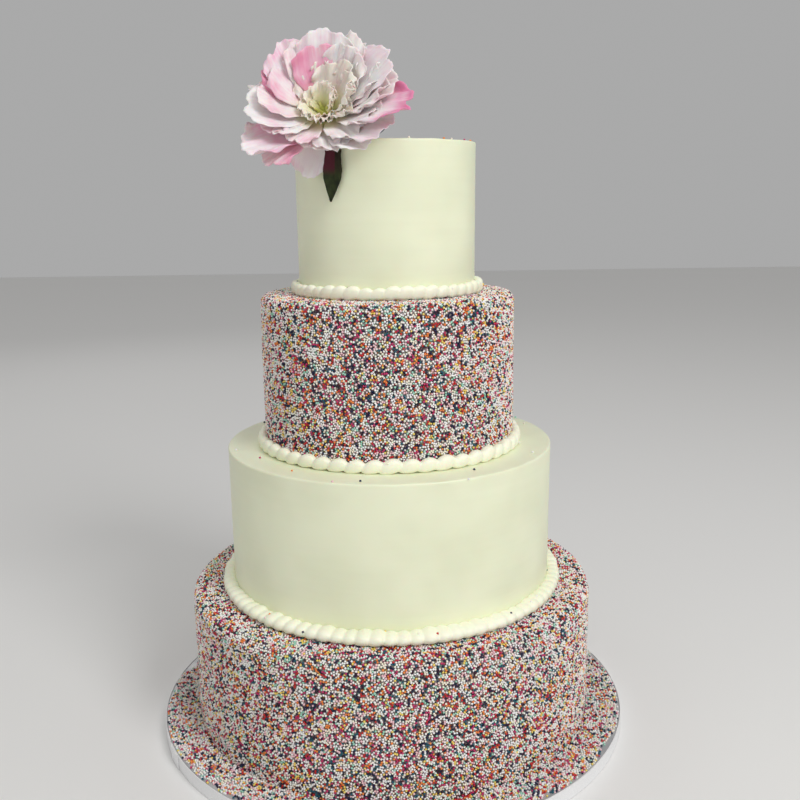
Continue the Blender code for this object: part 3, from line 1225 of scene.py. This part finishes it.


# The guard petals: node, turn, lean, bend, length, width, height of the root, ruffle, then the dye:
# pink at the tip, at the edges and all over, and green at the foot. On one middle petal the pink all over
# is partly painted shade.
GUARD_PETALS = (
    ("petal_top", 2, 46, -6, 0.060, 0.050, 0.0050, 0.0018, 0.00, 0.05, 0.00, 0.9),
    ("petal_upper_right", 72, 54, -6, 0.068, 0.046, 0.0030, 0.0020, 0.02, 0.05, 0.00, 0.9),
    ("petal_right", 106, 66, -4, 0.079, 0.042, 0.0020, 0.0028, 0.85, 0.05, -0.10, 0.8),
    ("petal_lower_right", 118, 78, 2, 0.060, 0.044, 0.0005, 0.0022, 0.10, 0.05, 0.00, 0.9),
    ("petal_bottom", 132, 88, 4, 0.047, 0.044, -0.0010, 0.0018, 0.00, 0.00, -0.10, 1.0),
    ("petal_lower_left", 236, 86, 4, 0.068, 0.046, -0.0006, 0.0026, -0.30, 0.15, 0.34, 0.6),
    ("petal_left", 262, 70, 0, 0.059, 0.050, 0.0012, 0.0010, -0.20, 0.00, 0.06, 0.6),
    ("petal_upper_left", 318, 54, -6, 0.062, 0.052, 0.0030, 0.0026, 0.10, 0.10, 0.10, 0.6),
    ("petal_back_left", 322, 84, -6, 0.058, 0.048, -0.0010, 0.0020, 0.05, 0.05, 0.00, 0.6),
    ("petal_back_right", 34, 84, -6, 0.058, 0.048, -0.0010, 0.0020, 0.05, 0.05, 0.00, 0.6),
    ("petal_hanging", 204, 122, 8, 0.044, 0.036, -0.0030, 0.0012, 0.00, 0.30, -0.10, 0.8),
)
for node, *shape in GUARD_PETALS:
    cloth_petals("peony_" + node, node, [shape], 0.0)

# The middle petals: the same, without the node.
MIDDLE_PETALS = (
    (24, 48, -6, 0.061, 0.044, 0.0042, 0.0022, 0.05, 0.05, 0.00, 0.9),
    (46, 50, -6, 0.058, 0.042, 0.0036, 0.0024, 0.00, 0.05, 0.04, 0.9),
    (88, 60, -5, 0.064, 0.040, 0.0030, 0.0028, 0.05, 0.05, 0.00, 0.9),
    (342, 48, -6, 0.059, 0.044, 0.0042, 0.0022, 0.10, 0.05, 0.08, 0.8),
    (298, 61, -5, 0.055, 0.038, 0.0024, 0.0030, 0.60, 0.10, 0.10, 0.6),
    (286, 73, -2, 0.062, 0.014, 0.0020, 0.0008, 0.00, 0.00, 0.00, 0.8),
    (222, 91, 4, 0.058, 0.030, -0.0004, 0.0022, -0.10, 0.20, 0.34, 0.9),
    (184, 88, 4, 0.034, 0.040, 0.0000, 0.0020, 0.00, 0.00, 0.04, 1.0),
    (160, 87, 2, 0.036, 0.036, 0.0008, 0.0022, 0.00, 0.00, 0.00, 1.0),
    (353, 41, -7, 0.047, 0.046, 0.0066, 0.0014, -0.15, 0.10, 0.62, 0.5),
    (30, 44, -6, 0.050, 0.034, 0.0060, 0.0028, 0.00, 0.05, 0.02, 0.9),
    # Painted shade: this petal's pink all over is raised to darken it to the mauve-grey of its shaded face.
    (310, 52, -6, 0.048, 0.052, 0.0050, 0.0018, 0.05, 0.10, 0.20, 0.6),
    (46, 46, -6, 0.050, 0.034, 0.0050, 0.0030, 0.00, 0.00, 0.00, 0.9),
    (72, 52, -5, 0.054, 0.034, 0.0045, 0.0030, 0.00, 0.00, 0.00, 0.9),
    (96, 60, -4, 0.058, 0.034, 0.0040, 0.0030, 0.10, 0.05, 0.00, 0.9),
    (272, 61, 0, 0.050, 0.042, 0.0040, 0.0016, 0.00, 0.05, 0.16, 0.8),
    (246, 75, 0, 0.048, 0.032, 0.0030, 0.0016, 0.00, 0.00, 0.20, 1.0),
    (112, 68, 0, 0.050, 0.036, 0.0035, 0.0028, 0.05, 0.05, 0.00, 1.0),
    (140, 78, 0, 0.038, 0.032, 0.0025, 0.0024, 0.00, 0.00, 0.00, 1.0),
    (208, 82, 0, 0.038, 0.030, 0.0020, 0.0020, -0.10, 0.05, 0.24, 1.0),
    (230, 79, 0, 0.042, 0.026, 0.0034, 0.0014, 0.00, 0.05, 0.00, 1.0),
)
cloth_petals("peony_middle_petals", "peony_heart", MIDDLE_PETALS, 0.06)

# The packed petals of the inner rings: ring, count, length above and below, lean above and below, ruffle.
petal_draw = Random(12)
turn_draw = 9.0
lean_draw = 12.0
length_draws = (0.80, 1.12)
width_draws = (0.50, 0.85)
packed_bend = -6.0
packed_root = 0.004
packed_dye = (0.0, 0.04, -0.02, 1.0)
packed_cream = 0.20
heart_leans_to = 52.0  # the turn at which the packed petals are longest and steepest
for ring, count, long, short, steep, flat, ruffle in (
    ("ruffled", 16, 0.042, 0.020, 34.0, 66.0, 0.0030),
    ("heart", 9, 0.029, 0.012, 16.0, 58.0, 0.0024),
):
    ring_petals = []
    for number in range(count):
        turn = 360.0 * number / count + petal_draw.uniform(-turn_draw, turn_draw)
        lowness = 0.5 - 0.5 * math.cos(math.radians(turn - heart_leans_to))
        lean = steep + (flat - steep) * lowness + petal_draw.uniform(-lean_draw, lean_draw)
        length = (long + (short - long) * lowness) * petal_draw.uniform(*length_draws)
        width = length * petal_draw.uniform(*width_draws)
        ring_petals.append((turn, lean, packed_bend, length, width, packed_root, ruffle, *packed_dye))
    cloth_petals("peony_" + ring + "_petals", "peony_heart", ring_petals, packed_cream)

# ---------------------------------------------------------------------------
# The seed pods in the middle of the bloom: five soft yellow-green horns of moulded cloth.
# ---------------------------------------------------------------------------

pod_profile = [(0.0, 0.0125), (0.0006, 0.0120), (0.0011, 0.0100), (0.0019, 0.0070), (0.0021, 0.0040)]
pod_profile += [(0.0014, 0.0005), (0.0, 0.0)]
pod_around = 14
pod_count = 5
pod_lean = Matrix.Rotation(math.radians(16.0), 3, "X")
pod_out = 0.0012
pod_curl = 18.0
pod_points = []
pod_faces = []
for number in range(pod_count):
    pod_turn = Matrix.Rotation(2.0 * math.pi * number / pod_count, 3, "Z") @ pod_lean
    pod_foot = pod_turn @ Vector((0.0, -pod_out, 0.0))
    start = len(pod_points)

    def in_the_bloom(spot):
        curl = Vector((0.0, -pod_curl * spot.z * spot.z, 0.0))
        return bloom_base + bloom_turn @ (pod_foot + pod_turn @ (spot + curl))

    pod_points += turned_points(pod_profile, pod_around, in_the_bloom)
    for face in turned_faces(len(pod_profile) - 2, pod_around):
        pod_faces.append(tuple(start + corner for corner in face))
pods = laid_mesh("peony_seed_pods", pod_points, pod_faces)
pods.data.materials.append(leaf_green("pod green", linear(226, 222, 140), linear(190, 196, 104), False))
settle(pods, "leaf", "peony_heart")

# ---------------------------------------------------------------------------
# The studio: a plain pale floor, a strong soft lamp at the front right, weaker ones at the left,
# above and behind, pale air all round, and a camera a little below the top of the cake.
# ---------------------------------------------------------------------------

floor_half = 6.0
floor = laid_mesh(
    "studio_floor",
    [(x * floor_half, y * floor_half, 0.0) for x, y in ((-1, -1), (1, -1), (1, 1), (-1, 1))],
    [(0, 1, 2, 3)],
)
floor_paint, _, floor_shader = new_finish("pale studio floor")
preset(floor_shader, {"Base Color": linear(236, 235, 233), "Roughness": 0.8})
floor.data.materials.append(floor_paint)

lamps_look_at = Vector((0.0, 0.0, 0.30))
for name, place, size, power in (
    ("key_lamp", (1.35, -1.75, 2.0), 1.1, 34.0),
    ("fill_lamp", (-2.0, -1.3, 0.9), 1.4, 3.8),
    ("top_lamp", (0.1, -0.9, 2.1), 1.0, 6.0),
    ("back_lamp", (-0.9, 2.1, 1.5), 1.4, 3.0),
):
    lamp = bpy.data.lights.new(name, "AREA")
    lamp.shape = "DISK"
    lamp.size = size
    lamp.energy = power
    stand = bpy.data.objects.new(name, lamp)
    stand.location = place
    stand.rotation_euler = (lamps_look_at - Vector(place)).to_track_quat("-Z", "Y").to_euler()
    bpy.context.scene.collection.objects.link(stand)

room = bpy.data.worlds.new("studio air")
room.use_nodes = True
preset(room.node_tree.nodes["Background"], {"Color": (1.0, 1.0, 1.0, 1.0), "Strength": 0.40})
bpy.context.scene.world = room

view = bpy.data.cameras.new("camera")
view.sensor_width = 36.0
view.lens = 41.59
camera = bpy.data.objects.new("camera", view)
camera_right = Vector((0.99980576, -0.0149737, -0.01281509))
camera_up = Vector((0.01566281, 0.20898372, 0.97779368))
camera_back = camera_right.cross(camera_up)
camera_place = Vector((0.0, -0.8763, 0.5039))
camera.matrix_world = Matrix.Translation(camera_place) @ (
    Matrix((camera_right, camera_up, camera_back)).transposed().to_4x4()
)
bpy.context.scene.collection.objects.link(camera)
bpy.context.scene.camera = camera
bpy.context.scene.view_settings.view_transform = "Standard"
